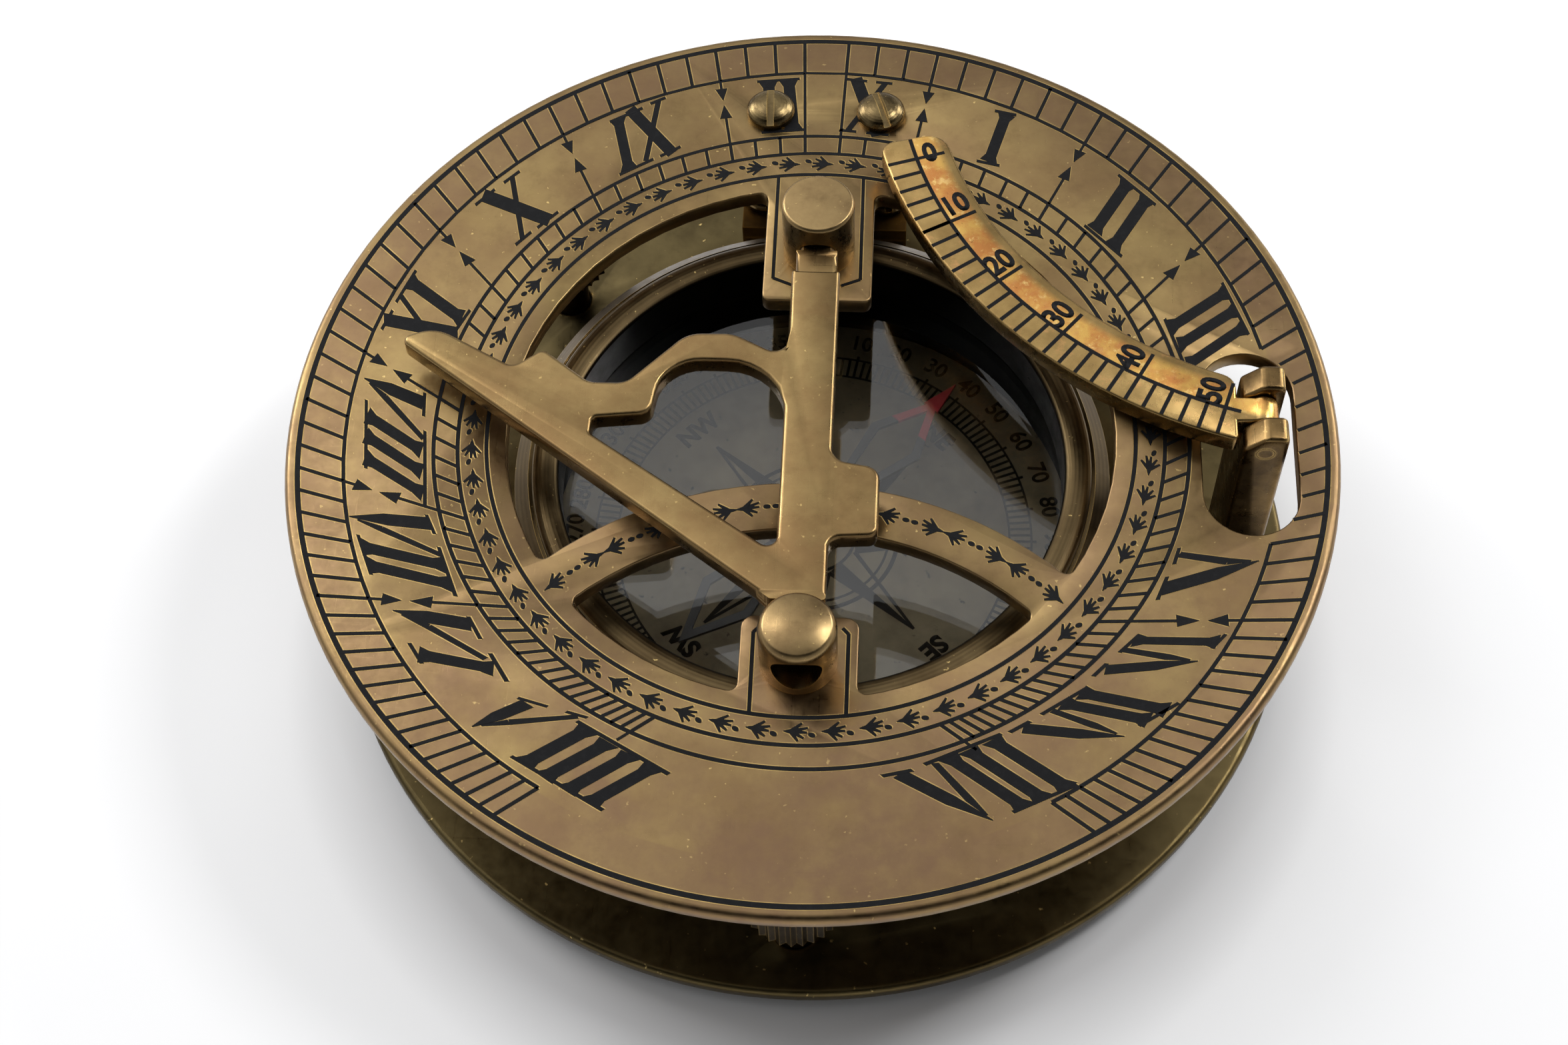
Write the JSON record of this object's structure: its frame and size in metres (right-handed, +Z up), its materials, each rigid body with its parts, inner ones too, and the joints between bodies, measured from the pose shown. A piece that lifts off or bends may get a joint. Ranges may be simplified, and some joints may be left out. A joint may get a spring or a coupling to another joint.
{
  "type": "sundial compass",
  "caption": "Folding brass sundial compass: a pierced hour plate hinged over a base with a compass, flat-folding gnomon, latitude arc and knurled levelling screws.",
  "frame": {"origin": "on the surface it stands on, below the middle of the dial plate", "axes": "+Z up, +Y towards XII and the dial's hinge, +X towards the latitude arc's bracket"},
  "size_m": [0.0986, 0.0986, 0.0331],
  "materials": {
    "plate_brass": "antiqued, brushed, with dark patina in the recesses",
    "base_brass": "antiqued, dark olive brown",
    "turned_brass": "turned and lightly worn",
    "arc_brass": "coppery antiqued",
    "screw_brass": "worn bright",
    "hidden_steel": "plain",
    "card": "printed, greyish white",
    "needle_paint": "black, with a red north end",
    "lens": "clear"
  },
  "bodies": {
    "base": {"base_plate": "base_brass", "compass_bowl": "turned_brass", "bowl_screws": "hidden_steel", "compass_card": "card", "needle_pivot": "hidden_steel", "compass_glass": "lens", "compass_bezel": "turned_brass", "arc_bracket": "plate_brass", "arc_bracket_screws": "hidden_steel", "arc_hinge_pin": "screw_brass", "base_hinge_block": "base_brass", "hinge_block_screws": "hidden_steel", "base_hinge_leaf": "plate_brass", "base_leaf_screws": "screw_brass", "dial_hinge_pin": "screw_brass"},
    "needle": {"compass_needle": "needle_paint", "needle_cap": "turned_brass"},
    "dial": {"dial_hinge_leaf": "plate_brass", "dial_plate": "plate_brass", "dial_screws": "screw_brass", "north_post": "turned_brass", "south_post": "turned_brass"},
    "gnomon": {"gnomon": "turned_brass"},
    "arc": {"latitude_arc": "arc_brass"},
    "level_south": {"levelling_screw_south": "turned_brass"},
    "level_northwest": {"levelling_screw_northwest": "turned_brass"},
    "level_northeast": {"levelling_screw_northeast": "turned_brass"}
  },
  "joints": [
    {"name": "dial_tilt", "type": "hinge", "parent": "base", "child": "dial", "pos_m": [0, 0.0436, 0.0185], "axis": [-1, 0, 0], "range_deg": [0, 15]},
    {"name": "arc_fold", "type": "hinge", "parent": "base", "child": "arc", "pos_m": [0.0419, 0.0012, 0.0281], "axis": [0, 1, 0], "range_deg": [0, 90]},
    {"name": "gnomon_fold", "type": "hinge", "parent": "dial", "child": "gnomon", "pos_m": [0, 0, 0.0293], "axis": [0, 1, 0], "range_deg": [0, 90]},
    {"name": "needle_spin", "type": "hinge", "parent": "base", "child": "needle", "pos_m": [0, 0, 0.0088], "axis": [0, 0, -1], "continuous": true},
    {"name": "level_south_travel", "type": "slide", "parent": "base", "child": "level_south", "axis": [0, 0, -1], "range_m": [-0.0015, 0.0055]},
    {"name": "level_northwest_travel", "type": "slide", "parent": "base", "child": "level_northwest", "axis": [0, 0, -1], "range_m": [-0.0015, 0.0055]},
    {"name": "level_northeast_travel", "type": "slide", "parent": "base", "child": "level_northeast", "axis": [0, 0, -1], "range_m": [-0.0015, 0.0055]}
  ],
  "couplings": [
    {"joint": "arc_fold", "follows": "dial_tilt", "ratio": 6}
  ]
}
